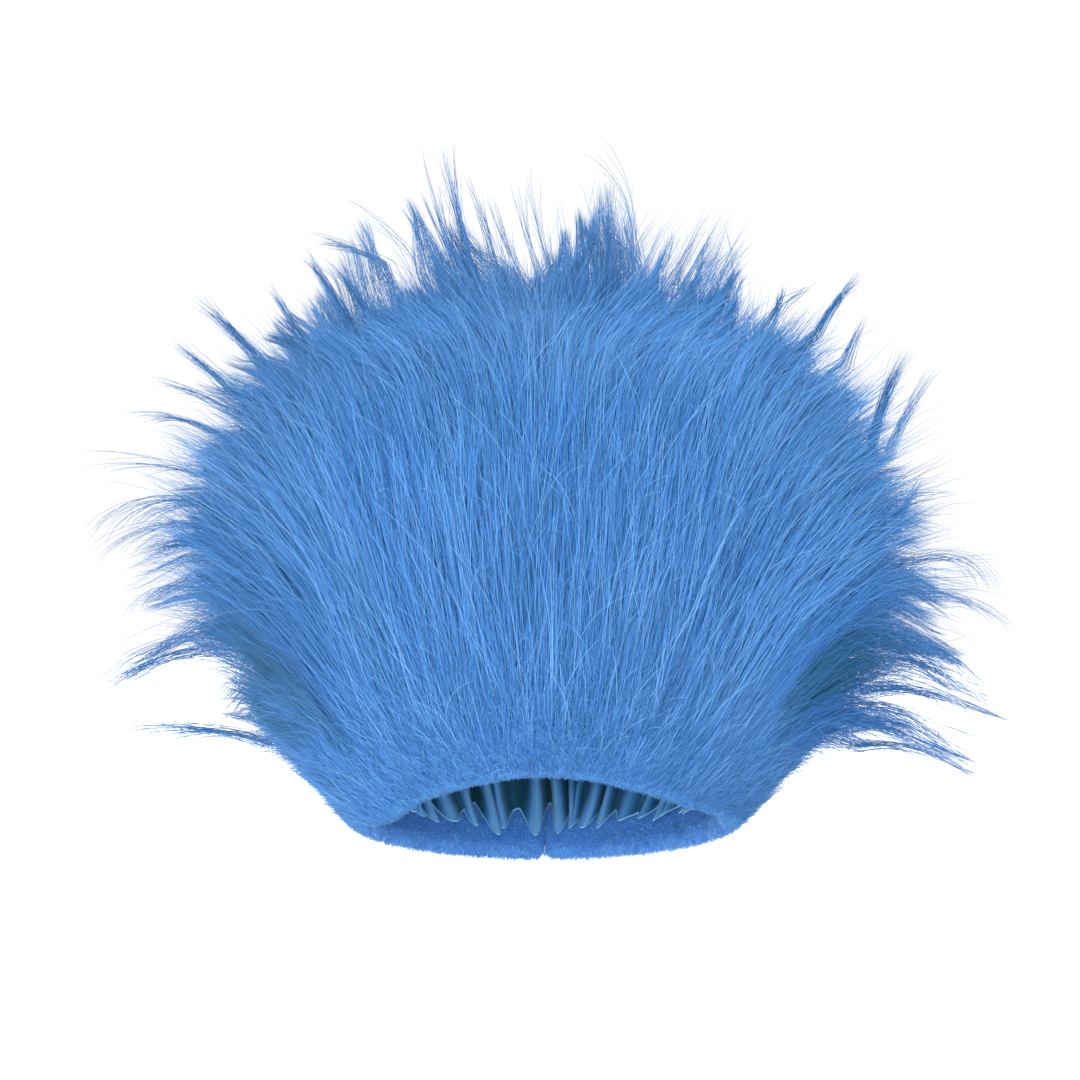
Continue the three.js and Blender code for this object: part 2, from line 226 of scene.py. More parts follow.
# Thin places in the pile, where the knit shows: the middle of each, and how far it reaches each way.
THIN_PLACES = [
    ((-0.113, -0.045, 0.052), (0.018, 0.055, 0.027)),
    ((0.116, -0.045, 0.060), (0.012, 0.050, 0.015)),
]
THINNING = 0.85
# How far strands that pass over the thin places are darkened: painted shade.
THIN_PLACE_PAINTED_SHADE = 0.93
# The climb, in degrees, at which the seam passes each angle of the outline.
TUFT_SWING = [-46, -20, 0, 20, 40, 58, 72, 90, 108, 122, 140, 160, 180, 200, 226]
TUFT_CLIMB = [-44, -20, -2, 17, 34, 48, 62, 88, 62, 48, 34, 17, -2, -20, -44]
TUFT_SEED = 5
TUFT_DEPTH = 0.6  # how much of its distance from the seam a lock keeps in its tuft
SEAM_SQUEEZE = np.array([1.0, 0.4, 1.0])  # locks find the nearest tuft with depths squeezed like this

# Colours from dark to light, as linear red, green and blue.
PILE_SHADES = [
    # The darkest, teal colour is what strands over the thin places are darkened towards, as painted shade.
    (0.008, 0.122, 0.27),
    (0.026, 0.168, 0.48),
    (0.039, 0.215, 0.59),
    (0.053, 0.251, 0.65),
    (0.085, 0.315, 0.71),
    (0.200, 0.465, 0.83),
]
# Lighter than the pile's colours: partly painted light, for the rear facing that sits in the opening's shade.
PLUSH_SHADES = [
    (0.022, 0.115, 0.37),
    (0.064, 0.255, 0.70),
    (0.105, 0.370, 0.90),
    (0.300, 0.600, 1.00),
]
# The frill satin's colours, from painted shade in the valleys and up inside to a painted highlight on the
# crests.
FRILL_PAINTED_LIGHT = [
    (0.0, (0.003, 0.045, 0.075)),
    (0.3, (0.008, 0.085, 0.16)),
    (0.6, (0.040, 0.21, 0.49)),
    (0.88, (0.13, 0.38, 0.74)),
]

# Studio.
FLOOR_HEIGHT = -0.065
FLOOR_REACH = 6.0
FLOOR_GLOW = 0.8
SOFT_LIGHTS = {  # place, width and power
    "key_light": ((-0.35, -1.8, 0.35), 1.1, 14),
    "low_light": ((-0.1, -1.7, -0.3), 0.9, 3),
    "top_light": ((0.1, -0.6, 1.6), 1.0, 8),
}
LIGHTS_AIM = (0, 0, 0.1)
LENS = 174
CAMERA_SIDE = -0.002
CAMERA_AWAY = 2.2
CAMERA_HEIGHT = 0.1165

rng = np.random.default_rng(7)


# --- The shell surface ---


def unit(vectors):
    """The vectors, each scaled to length 1."""
    return vectors / np.maximum(np.linalg.norm(vectors, axis=-1, keepdims=True), 1e-12)


def smooth(value, low, high):
    """0 below low, 1 above high, and an S curve between."""
    t = np.clip((value - low) / (high - low), 0.0, 1.0)
    return t * t * (3 - 2 * t)


def mix(a, b, share):
    """A straight blend from a to b."""
    return a + (b - a) * share


def climb_at(height):
    """The climb angle at a height above the rim, up to the waist."""
    return -np.arcsin((WAIST_HEIGHT - np.asarray(height, float)) / SKIRT_RADIUS)


def rim_rise(turn):
    """How far the rim stands above the origin at a turn: arched at the brow, and low at the nape."""
    sides = 1 - np.cos(2 * turn)
    corners = 1 - np.cos(4 * turn)
    left = -np.cos(turn)
    dip = LEFT_DIP * smooth(left, 0.58, 0.82) * (1 - smooth(left, 0.9, 1.0))
    arch = np.where(np.sin(turn) < 0, BROW_BOW * sides - BROW_POINT * corners - dip, 0.0)
    return arch - RIM_SAG - NAPE_DROP * np.sin(turn)


def shell_point(turn, climb):
    """Points on the shell: a rounded square dome above the waist, drawn in to the rim below it."""
    turn, climb = np.broadcast_arrays(np.asarray(turn, float), np.asarray(climb, float))
    above = climb > 0
    power = np.where(above, 2 / CROWN_SQUARENESS, 1.0)
    reach = np.sign(np.cos(climb)) * np.abs(np.cos(climb)) ** power
    lift = np.where(above, CROWN_RISE, SKIRT_RADIUS) * np.sign(climb) * np.abs(np.sin(climb)) ** power
    tilt = np.where(above, 0.0, np.abs(climb / RIM_CLIMB) ** 1.5)
    x = WAIST_HALF_WIDTH * reach * np.cos(turn)
    y = WAIST_HALF_DEPTH * reach * np.sin(turn)
    return np.stack([x, y, WAIST_HEIGHT + lift + tilt * rim_rise(turn)], axis=-1)


def shell_axes(turn, climb):
    """The directions across, up and out of the shell."""
    up = unit(shell_point(turn, climb + NUDGE) - shell_point(turn, climb - NUDGE))
    across = unit(shell_point(turn + NUDGE, climb) - shell_point(turn - NUDGE, climb))
    out = unit(np.cross(across, up))
    return across, up, out


def layer_point(turn, climb, depth):
    """Points at a depth from the shell: positive stands out of it, negative lies inside it."""
    out = shell_axes(turn, climb)[2]
    return shell_point(turn, climb) + out * np.asarray(depth, float)[..., None]


def turn_and_climb(points):
    """The turn and climb of the shell that each point stands over."""
    x = points[..., 0] / WAIST_HALF_WIDTH
    y = points[..., 1] / WAIST_HALF_DEPTH
    rise = points[..., 2] - WAIST_HEIGHT
    height = np.where(rise > 0, rise / CROWN_RISE, rise / SKIRT_RADIUS)
    climb = np.arctan2(height, np.hypot(x, y))
    return np.arctan2(y, x), np.clip(climb, RIM_CLIMB * 1.15, TOP_CLIMB)


# --- Meshes ---


def new_object(name, mesh):
    """A new object for a mesh, in the scene's own collection."""
    piece = bpy.data.objects.new(name, mesh)
    bpy.context.scene.collection.objects.link(piece)
    return piece


def mesh_from(name, points, groups, loop_uvs=None):
    """A smooth mesh from points and groups of faces. The faces in a group have the same number of corners."""
    mesh = bpy.data.meshes.new(name)
    corners = np.concatenate([group.ravel() for group in groups]).astype(np.int32)
    sizes = np.concatenate([np.full(len(group), group.shape[1]) for group in groups])
    mesh.vertices.add(len(points))
    mesh.vertices.foreach_set("co", np.asarray(points, np.float32).ravel())
    mesh.loops.add(len(corners))
    mesh.loops.foreach_set("vertex_index", corners)
    mesh.polygons.add(len(sizes))
    starts = np.concatenate([[0], np.cumsum(sizes)[:-1]]).astype(np.int32)
    mesh.polygons.foreach_set("loop_start", starts)
    mesh.polygons.foreach_set("use_smooth", np.ones(len(sizes), bool))
    if loop_uvs is not None:
        layer = mesh.uv_layers.new(name=STRAND_MAP)
        layer.data.foreach_set("uv", loop_uvs(corners).astype(np.float32).ravel())
    mesh.update(calc_edges=True)
    mesh.validate()
    return mesh


def closed_sheet(name, outer, inner):
    """A closed mesh between two grids of points, with its edges left sharp."""
    rows, columns = outer.shape[:2]
    index = np.arange(rows * columns).reshape(rows, columns)
    a, b, c, d = index[:-1, :-1], index[:-1, 1:], index[1:, 1:], index[1:, :-1]
    face = np.stack([a, b, c, d], axis=-1).reshape(-1, 4)
    back = face[:, ::-1] + index.size
    ring = np.concatenate([index[0, :-1], index[:-1, -1], index[-1, :0:-1], index[:0:-1, 0]])
    after = np.roll(ring, -1)
    edge = np.stack([after, ring, ring + index.size, after + index.size], axis=-1)
    points = np.concatenate([outer.reshape(-1, 3), inner.reshape(-1, 3)])
    mesh = mesh_from(name, points, [face, back, edge])
    mesh.set_sharp_from_angle(angle=SHARP_ANGLE)
    return mesh


def closed_sweep(name, sections):
    """A closed mesh through a row of sections, which are loops of points, with flat ends."""
    stations, corners = sections.shape[:2]
    index = np.arange(stations * corners).reshape(stations, corners)
    after = np.roll(index, -1, axis=1)
    walls = np.stack([index[:-1], index[1:], after[1:], after[:-1]], axis=-1).reshape(-1, 4)
    ends = np.stack([index[0], index[-1, ::-1]])
    mesh = mesh_from(name, sections.reshape(-1, 3), [walls, ends])
    mesh.set_sharp_from_angle(angle=SHARP_ANGLE)
    return mesh


def strand_faces(count, rings):
    """The walls and the ends of three-sided strands, by the order of their points."""
    walls = []
    for k in range(rings - 1):
        for corner in range(3):
            a = 3 * k + corner
            b = 3 * k + (corner + 1) % 3
            walls.append([a, b, b + 3, a + 3])
    last = 3 * (rings - 1)
    ends = [[0, 2, 1]]
    ends += [[last + corner, last + (corner + 1) % 3, 3 * rings] for corner in range(3)]
    base = (np.arange(count) * (rings * 3 + 1))[:, None, None]
    quads = (base + np.array(walls)[None]).reshape(-1, 4)
    triangles = (base + np.array(ends)[None]).reshape(-1, 3)
    return quads, triangles


def strand_mesh(name, strands, shade, radius, face=None):
    """A mesh of closed, tapered, three-sided strands. The shell or the face below shades them in part."""
    count, rings = strands.shape[0], strands.shape[1] - 1
    along = np.arange(rings + 1) / rings
    heading = unit(np.gradient(strands, axis=1))
    side = unit(np.cross(heading, SKEW))
    other = np.cross(heading, side)
    taper = radius * (1 - along[:rings] ** 2.5 * 0.55)
    spokes = []
    for corner in range(3):
        angle = 2 * math.pi * corner / 3
        spokes.append(side[:, :rings] * math.cos(angle) + other[:, :rings] * math.sin(angle))
    spokes = np.stack(spokes, axis=2)
    body = strands[:, :rings, None] + spokes * taper[None, :, None, None]
    points = np.concatenate([body.reshape(count, rings * 3, 3), strands[:, rings:]], axis=1)
    height = np.append(np.repeat(along[:rings], 3), 1.0)

    def loop_uvs(corner_points):
        strand, place = np.divmod(corner_points, rings * 3 + 1)
        return np.stack([shade[strand], mix(0.02, 0.98, height[place])], axis=-1)

    mesh = mesh_from(name, points.reshape(-1, 3), strand_faces(count, rings), loop_uvs)
    out = shell_axes(*turn_and_climb(strands))[2]
    if face is not None:
        out = np.broadcast_to(face[:, None], strands.shape)
    normals = unit(mix(spokes, out[:, :rings, None], SOFT_SHADING)).reshape(count, rings * 3, 3)
    normals = np.concatenate([normals, out[:, rings:]], axis=1).reshape(-1, 3)
    mesh.normals_split_custom_set_from_vertices(normals)
    return mesh


# --- The lie of the pile ---


def scatter(turns, climbs, count, draw):
    """Even random places on part of the shell, as turns and climbs."""
    columns, rows = 240, 160
    turn_edges = np.linspace(*turns, columns + 1)
    climb_edges = np.linspace(*climbs, rows + 1)
    turn_mid, climb_mid = np.meshgrid(
        (turn_edges[1:] + turn_edges[:-1]) / 2, (climb_edges[1:] + climb_edges[:-1]) / 2
    )
    across = shell_point(turn_mid + NUDGE, climb_mid) - shell_point(turn_mid - NUDGE, climb_mid)
    up = shell_point(turn_mid, climb_mid + NUDGE) - shell_point(turn_mid, climb_mid - NUDGE)
    area = np.linalg.norm(np.cross(across, up), axis=-1).ravel()
    cell = draw.choice(area.size, count, p=area / area.sum())
    jitter = draw.random((2, count)) - 0.5
    turn = turn_mid.ravel()[cell] + jitter[0] * (turn_edges[1] - turn_edges[0])
    climb = climb_mid.ravel()[cell] + jitter[1] * (climb_edges[1] - climb_edges[0])
    return turn, climb


def search_tree(points):
    """A tree that finds the nearest of some points."""
    tree = KDTree(len(points))
    for index, place in enumerate(points):
        tree.insert(place, index)
    tree.balance()
    return tree


def spaced(turns, climbs, gap, draw):
    """Random places on part of the shell that keep a gap from each other."""
    share = (turns[1] - turns[0]) / (2 * math.pi)
    turn, climb = scatter(turns, climbs, int(0.62 * share / gap**2), draw)
    points = shell_point(turn, climb)
    tree = search_tree(points)
    kept = np.ones(len(points), bool)
    for index, place in enumerate(points):
        if kept[index]:
            for _, other, _ in tree.find_range(place, gap):
                kept[other] = kept[other] and other <= index
    return turn[kept], climb[kept]


def nearest(roots, others):
    """For each root, the index of the nearest of the others."""
    tree = search_tree(others)
    return np.array([tree.find(place)[1] for place in roots])


def seam_distance(points):
    """0 over the seam that runs from side to side, and 1 at the middle of the brow or nape."""
    return np.abs(points[..., 1]) / WAIST_HALF_DEPTH


def combed(points, loft, lay):
    """The way the pile lies at each point: up and apart on the brow and nape, and out along the seam."""
    turn, climb = turn_and_climb(points)
    _, up, out = shell_axes(turn, climb)
    height = points[..., 2]
    away = smooth(seam_distance(points), 0.0, BROW_REACH)
    inner = np.minimum(away, 1 - smooth(np.abs(points[..., 0]) / WAIST_HALF_WIDTH, *SIDE_FAN))
    heart = mix(np.interp(height, *OUTLINE_HEART), np.interp(height, *BROW_HEART), inner)
    spoke = unit(np.stack([points[..., 0], np.zeros_like(turn), height - heart], axis=-1))
    outward = np.sum(spoke * out, axis=-1)[..., None]
    flat = spoke - out * outward
    flat = flat / np.maximum(np.linalg.norm(flat, axis=-1, keepdims=True), 0.35)
    off_rim = smooth(height + NAPE_DROP * np.sin(turn), *RIM_EDGE)
    rise = mix(0.05, mix(0.6, 0.25, smooth(height, *PARTING)), away)
    stand = mix(0.2, 0.16, away) + loft * mix(0.5, 0.35, away)
    direction = mix(spoke, flat, np.clip(FLATTEST * away + lay, 0.0, FLATTEST)[..., None])
    direction = direction * off_rim[..., None]
    direction = direction + up * mix(0.8, rise, off_rim)[..., None]
    direction = direction + out * (stand * mix(0.5, 1.0, off_rim))[..., None]
    return unit(direction)


def grow(turn, climb, length, loft, lay, bend, droop, steps):
    """Strands from their roots: each follows the comb, keeps some of its own way, bends and droops."""
    points = np.empty((len(turn), steps + 1, 3))
    points[:, 0] = shell_point(turn, climb)
    heading = combed(points[:, 0], loft, lay)
    step = (length / steps)[:, None]
    for k in range(steps):
        along = (k + 0.5) / steps
        comb = combed(points[:, k], loft, lay)
        follow = mix(*COMB_FOLLOW, smooth(points[:, k, 2], *CROWN_TOP))[:, None]
        heading = unit(mix(heading, comb, follow) + bend * (0.25 + along) / steps)
        heading[:, 2] -= droop * along**1.3 / steps
        heading = unit(heading)
        points[:, k + 1] = points[:, k] + heading * step
    return points


def gather(strands, guides, pull):
    """Draws each strand towards its guide, more so towards its tip. pull is the share drawn at the tip."""
    steps = strands.shape[1] - 1
    along = (np.arange(steps + 1) / steps)[None, :, None]
    share = pull[:, None, None] * smooth(along, -0.05, 0.9)
    return strands + (guides - strands) * share


def lie(turn, climb):
    """What the lie of the pile depends on: how near the seam, how far to the side, and how high it is."""
    points = shell_point(turn, climb)
    breadth = mix(*SEAM_BREADTH, smooth(points[..., 2], 0.16, 0.2))
    near_seam = 1 - smooth(seam_distance(points) / breadth, 0.1, 1.0)
    side = smooth(np.abs(points[..., 0]), 0.6 * WAIST_HALF_WIDTH, 0.95 * WAIST_HALF_WIDTH)
    height = points[..., 2] + NAPE_DROP * np.sin(turn)
    return near_seam, side, height


def thinness(points):
    """1 in the middle of the thin places low on the seam, where the knit shows, and 0 away from them."""
    thin = np.zeros(points.shape[:-1])
    for place, reach in THIN_PLACES:
        offset = (points - place) / reach
        thin = np.maximum(thin, np.exp(-np.sum(offset**2, axis=-1)))
    return np.minimum(1.0, 1.3 * thin)


def droop_of(turn, climb):
    """How much strands droop: most at the sides, least on the brow and crown."""
    near_seam, side, height = lie(turn, climb)
    return mix(0.1, 1.9, side * near_seam * (1 - smooth(height, *UPPER_SIDE)))


def crown_crop(height):
    """The pile's length at a height, as a share: shorter over the crown."""
    return mix(1.0, CROWN_SHARE, smooth(height, *SHOULDER))


# --- Fur ---


def lock_lengths(turn, climb, draw):
    """The length of each lock: short at the rim and over the crown, and uneven along the seam."""
    near_seam, _, height = lie(turn, climb)
    full = PILE_LENGTH * draw.uniform(0.8, 1.1, len(turn)) * crown_crop(height)
    low = smooth(height, 0.0, 0.04)
    below = 0.03 * smooth(np.cos(turn), -0.2, 0.6)
    cropped = near_seam * (draw.random(len(turn)) < mix(0.88, 0.4, smooth(height + below, 0.03, 0.08)))
    return full * mix(0.4, 1.0, low) * mix(1.0, draw.uniform(0.3, 0.6, len(turn)), cropped)


def outline_share(points):
    """How long the pile is along the outline, as a share of its full length."""
    angle = np.degrees(np.arctan2(points[..., 2] - WAIST_HEIGHT, points[..., 0]))
    angle = np.where(angle < -90, angle + 360, angle)
    return np.interp(angle, *np.transpose(OUTLINE_LENGTHS))


def tuft_guides(draw):
    """The middles of the tufts along the seam. Each starts square to the shell and turns to its own way."""
    swing, aim_at, reach = np.array(TUFTS).T
    climb = np.radians(np.interp(swing, TUFT_SWING, TUFT_CLIMB))
    turn = np.where(swing > 90, math.pi, 0.0)
    out = shell_axes(turn, climb)[2]
    square = np.arctan2(out[:, 2], out[:, 0])
    square = np.where(square < -math.pi / 2, square + 2 * math.pi, square)
    aim_at = np.radians(aim_at)
    sway = draw.normal(0.0, 0.12, len(swing))
    points = np.empty((len(swing), GUARD_STEPS + 1, 3))
    points[:, 0] = shell_point(turn, climb)
    for k in range(GUARD_STEPS):
        along = k / (GUARD_STEPS - 1)
        angle = mix(square, aim_at, min(1.0, 0.35 + 1.1 * along))
        heading = np.stack([np.cos(angle), sway, np.sin(angle)], axis=-1)
        points[:, k + 1] = points[:, k] + unit(heading) * (PILE_LENGTH * reach / GUARD_STEPS)[:, None]
    return points


def tuft_paths(roots, length):
    """The path of the nearest tuft to each lock, sized to the lock and kept partly beside the seam."""
    tufts = tuft_guides(np.random.default_rng(TUFT_SEED))
    mine = tufts[nearest(roots * SEAM_SQUEEZE, tufts[:, 0] * SEAM_SQUEEZE)]
    size = length / PILE_LENGTH
    paths = mine[:, :1] + (mine - mine[:, :1]) * size[:, None, None]
    paths[..., 1] += TUFT_DEPTH * roots[:, 1:2]
    return paths


def guide_locks(turns, climbs, draw):
    """The middles of the locks. Near the seam, tufts draw in the locks that stand tall."""
    turn, climb = spaced(turns, climbs, LOCK_GAP, draw)
    near_seam, _, height = lie(turn, climb)
    total = len(turn)
    roots = shell_point(turn, climb)
    length = lock_lengths(turn, climb, draw)
    tall = length > TALL_SHARE * PILE_LENGTH * crown_crop(height)
    length = length * mix(1.0, outline_share(roots), near_seam)
    loft = draw.normal(0.0, 0.25, total)
    lies_down = draw.random(total) < mix(0.35, 0.65, smooth(height, *UPPER_SIDE))
    lay = near_seam * lies_down * draw.uniform(0.5, 0.95, total)
    wander = mix(*LOCK_WANDER, near_seam)[:, None]
    bend = draw.normal(0.0, 1.0, (total, 3)) * wander
    droop = droop_of(turn, climb) * draw.uniform(0.5, 1.3, total)
    paths = grow(turn, climb, length, loft, lay, bend, droop, GUARD_STEPS)
    follows = np.where(lies_down, mix(0.35, 0.8, smooth(height, *CROWN_EDGE)), 0.92)
    hold = near_seam * tall * follows * draw.uniform(0.7, 1.1, total)
    paths = gather(paths, tuft_paths(roots, length), np.minimum(hold, 0.97))
    return SimpleNamespace(roots=roots, length=length, loft=loft, lay=lay, paths=paths)


def guide_wisps(turns, climbs, locks, draw):
    """The middles of the wisps. Each takes after its nearest lock, and keeps closer to it near the seam."""
    turn, climb = spaced(turns, climbs, WISP_GAP, draw)
    near_seam = lie(turn, climb)[0]
    total = len(turn)
    roots = shell_point(turn, climb)
    lock = nearest(roots, locks.roots)
    length = locks.length[lock] * draw.uniform(0.75, 1.1, total)
    loft = locks.loft[lock] + draw.normal(0.0, 0.15, total)
    lay = locks.lay[lock]
    bend = draw.normal(0.0, 1.0, (total, 3)) * WISP_WANDER
    droop = droop_of(turn, climb) * draw.uniform(0.5, 1.4, total)
    paths = grow(turn, climb, length, loft, lay, bend, droop, GUARD_STEPS)
    hold = mix(*WISP_HOLD, near_seam) * draw.uniform(0.65, 1.1, total)
    paths = gather(paths, locks.paths[lock], np.minimum(hold, 0.95))
    shade = WISP_SHADE * draw.random(total) + LOCK_SHADE * draw.random(len(locks.roots))[lock]
    return SimpleNamespace(roots=roots, length=length, loft=loft, lay=lay, paths=paths, shade=shade)


def guard_lengths(at, draw):
    """The lengths of long strands, which end at uneven places along their wisps."""
    shortest = mix(0.72, 0.4, at.near_seam)
    unevenness = mix(1.0, 1.25, at.near_seam)
    return at.wisp_length * mix(shortest, 1.12, draw.random(len(at.height)) ** unevenness)


def coat_lengths(at, draw):
    """The lengths of short strands: shortest at the rim, and fullest low on the right by the seam."""
    low = mix(0.35, 1.0, smooth(at.height, 0.0, 0.07))
    high = mix(1.0, 0.7, smooth(at.height, *CROWN_EDGE))
    right = smooth(at.wisp_x, 0.03, 0.09)
    full = 1 + 0.5 * at.near_seam * right * (1 - smooth(at.height, 0.06, 0.11))
    return COAT_LENGTH * draw.uniform(0.7, 1.15, len(at.height)) * low * high * full


def shortened(paths, strands, path_length):
    """The wisps' paths with as many points as shorter strands have, at their size and on their roots."""
    every = (paths.shape[1] - 1) // (strands.shape[1] - 1)
    paths = paths[:, ::every]
    reach = np.linalg.norm(strands[:, -1] - strands[:, 0], axis=-1) / path_length
    return strands[:, :1] + (paths - paths[:, :1]) * reach[:, None, None]


def strand_layer(turns, climbs, count, wisps, kind, lengths, draw):
    """One layer of strands, drawn towards the wisps, with the shade of each. A few go astray."""
    turn, climb = scatter(turns, climbs, int(count * kind.share), draw)
    near_seam, _, height = lie(turn, climb)
    roots = shell_point(turn, climb)
    wisp = nearest(roots, wisps.roots)
    total = len(turn)
    stray = draw.random(total) < mix(*STRAY_SHARE, near_seam)
    wisp_length = wisps.length[wisp]
    wisp_x = wisps.roots[wisp, 0]
    at = SimpleNamespace(near_seam=near_seam, height=height, wisp_x=wisp_x, wisp_length=wisp_length)
    length = lengths(at, draw)
    loft = wisps.loft[wisp] + draw.normal(0.0, 0.12, total) + np.where(stray, STRAY_LOFT, 0.0)
    sway = kind.looseness * mix(1.0, 1.6, near_seam) * np.where(stray, STRAY_SWAY, 1.0)
    bend = draw.normal(0.0, 1.0, (total, 3)) * sway[:, None]
    droop = droop_of(turn, climb) * draw.uniform(0.4, 1.4, total)
    strands = grow(turn, climb, length, loft, wisps.lay[wisp], bend, droop, kind.steps)

    pull = mix(*kind.pulls, near_seam) * draw.uniform(mix(0.7, 0.92, near_seam), 1.03, total)
    pull = np.where(stray, STRAY_PULL, np.minimum(pull, 0.96))
    paths = wisps.paths[wisp]
    if kind.steps < GUARD_STEPS:
        paths = shortened(paths, strands, wisp_length)
    strands = gather(strands, paths, pull)

    shade = wisps.shade[wisp] + STRAND_SHADE * draw.random(total)
    shade = MEAN_SHADE + (shade - 0.5) * SHADE_SPREAD
    # Strays are lighter: a painted highlight, for the glint on loose hairs that lie across the pile.
    shade = np.where(stray, 0.7 + 0.3 * draw.random(total), shade)
    # Painted shade: strands that pass over a thin place are darkened.
    shade = shade * (1 - THIN_PLACE_PAINTED_SHADE * np.max(thinness(strands[:, kind.steps // 3 :]), axis=1))
    kept = draw.random(total) > THINNING * thinness(strands[:, 0])
    return strands[kept], np.clip(shade, 0.01, 0.99)[kept]


def fur(turns, climbs, count, draw):
    """Each layer of part of the pile, by name: its strands and their shades."""
    locks = guide_locks(turns, climbs, draw)
    wisps = guide_wisps(turns, climbs, locks, draw)
    guard = strand_layer(turns, climbs, count, wisps, GUARD, guard_lengths, draw)
    coat = strand_layer(turns, climbs, count, wisps, COAT, coat_lengths, draw)
    return {"guard": guard, "coat": coat}


def rim_coat(turns, top, count, draw):
    """Short pile that covers the rim, from the edge of the binding up to a height, with its shades."""
    turn, climb = scatter(turns, (float(climb_at(-0.001)), float(climb_at(top))), count, draw)
    height = shell_point(turn, climb)[:, 2] + NAPE_DROP * np.sin(turn)
    length = mix(0.008, 0.018, smooth(height, 0.0, 0.03)) * draw.uniform(0.6, 1.2, count)
    loft = draw.normal(0.35, 0.3, count)
    bend = draw.normal(0.0, 0.7, (count, 3))
    strands = grow(turn, climb, length, loft, np.zeros(count), bend, np.full(count, 0.3), RIM_COAT_STEPS)
    return strands, draw.uniform(0.01, 0.9, count)


def flyaway(x, z, start, tip, length, hairs, draw):
    """One wisp that stands away from the outline. Its strands come from the shell and close at its tip."""
    turn = 0.0 if x > 0 else math.pi
    leave = np.array([x, draw.uniform(-18, 10), z]) / 1000
    climbs = np.linspace(RIM_CLIMB, TOP_CLIMB, 200)
    climb = climbs[np.argmin(np.linalg.norm(shell_point(turn, climbs) - leave, axis=-1))]
    points = np.empty((hairs, GUARD_STEPS + 1, 3))
    points[:, 0] = shell_point(turn + draw.normal(0, 0.05, hairs), climb + draw.normal(0, 0.04, hairs))
    points[:, 1] = (points[:, 0] + leave) / 2
    points[:, 2] = leave
    free_steps = GUARD_STEPS - 2
    step = length / 1000 / free_steps * draw.uniform(0.55, 1.05, hairs)
    sway = draw.normal(0, 6, hairs)
    lean = draw.uniform(-0.3, 0.3)
    for k in range(free_steps):
        along = (k + 0.5) / free_steps
        angle = np.radians(mix(start, tip, along**1.2) + sway * along)
        heading = np.stack([np.cos(angle), np.full(hairs, lean * along), np.sin(angle)], axis=-1)
        points[:, k + 3] = points[:, k + 2] + unit(heading) * step[:, None]
    apart = draw.normal(0, WISP_SPREAD, (hairs, 1, 3))
    points[:, 1:] += apart * (1 - 0.8 * np.linspace(0, 1, free_steps + 2)[None, :, None])
    return points


def flyaways(draw):
    """The strands of all the wisps that stand away from the outline, with the shade of each."""
    strands = np.concatenate([flyaway(*row, draw) for row in FLYAWAYS])
    return strands, draw.uniform(0.02, 0.7, len(strands))


# --- Cloth ---


def grid(turns, climbs, columns, rows):
    """A grid of turns and climbs over part of the shell, held back from its sides by half the seam gap."""
    share, climb = np.meshgrid(np.linspace(0, 1, columns + 1), np.linspace(*climbs, rows + 1))
    radius = WAIST_HALF_WIDTH * np.maximum(np.cos(climb), 0.004)
    margin = np.minimum(SEAM_GAP / 2 / radius, (turns[1] - turns[0]) * 0.3)
    turn = mix(turns[0] + margin, turns[1] - margin, share)
    return turn, climb


def layer_panel(name, turns, bottom, depths, bulge=0.0):
    """A panel of one layer of the cap, from a height above the rim up to the crown, as a closed sheet."""
    columns = round(40 * (turns[1] - turns[0]))
    turn, climb = grid(turns, (float(climb_at(bottom)), TOP_CLIMB), columns, 70)
    soft = np.sin(turn * 9 + 2 * np.sin(climb * 5)) * np.cos(climb * 7 + 1.5 * np.sin(turn * 4))
    outer = layer_point(turn, climb, depths[0])
    inner = layer_point(turn, climb, depths[1] + bulge * (soft - 1) * 0.5)
    return new_object(name, closed_sheet(name, outer, inner))


def band_fold(reach, drop):
    """The curve of the binding under the rim, as depths and heights, by its reach each way and its drop."""
    middle = BAND_FACE - BAND_WIDTH / 2
    bow = np.linspace(0, math.pi, 13)
    return [(middle + reach * math.cos(t), 0.001 - (drop + 0.001) * math.sin(t)) for t in bow]


def band_outline():
    """The binding's outline as depths and heights: a channel that folds round under the rim."""
    back = BAND_FACE - BAND_WIDTH
    outer = band_fold(BAND_WIDTH / 2, BAND_FOLD)
    inner = band_fold(BAND_WIDTH / 2 - BAND_CLOTH, BAND_FOLD - BAND_CLOTH)
    outside = [(BAND_FACE, BAND_TOP), *outer, (back, BAND_FACING_TOP)]
    inside = [(BAND_FACE - BAND_CLOTH, BAND_TOP), *inner, (back + BAND_CLOTH, BAND_FACING_TOP)]
    return np.array(outside), np.array(inside)


def pinch(turn):
    """1 at the centre back seam and 0 away from it."""
    return np.exp(-((((turn - math.pi / 2) * RIM_HALF_WIDTH) / PINCH_WIDTH) ** 2))


def rim_points(turn, depth, height):
    """Points near the rim at depths and heights above it. The centre back seam draws the band in."""
    drawn = pinch(turn)
    height = height + PINCH_RISE * drawn * (1 - smooth(height, 0.0, BAND_FACING_TOP))
    depth = mix(depth, mix(depth, BAND_FACE - BAND_WIDTH / 2, 0.35), drawn)
    return layer_point(turn, climb_at(height), depth)


def rim_band(name, turns):
    """The binding of one panel's rim, as a closed mesh."""
    outside, inside = band_outline()
    loop = np.concatenate([outside, inside[::-1]])
    stations = round(60 * (turns[1] - turns[0]))
    margin = SEAM_GAP / 2 / RIM_HALF_WIDTH
    turn = mix(turns[0] + margin, turns[1] - margin, np.linspace(0, 1, stations + 1))
    return new_object(name, closed_sweep(name, rim_points(turn[:, None], loop[:, 0], loop[:, 1])))


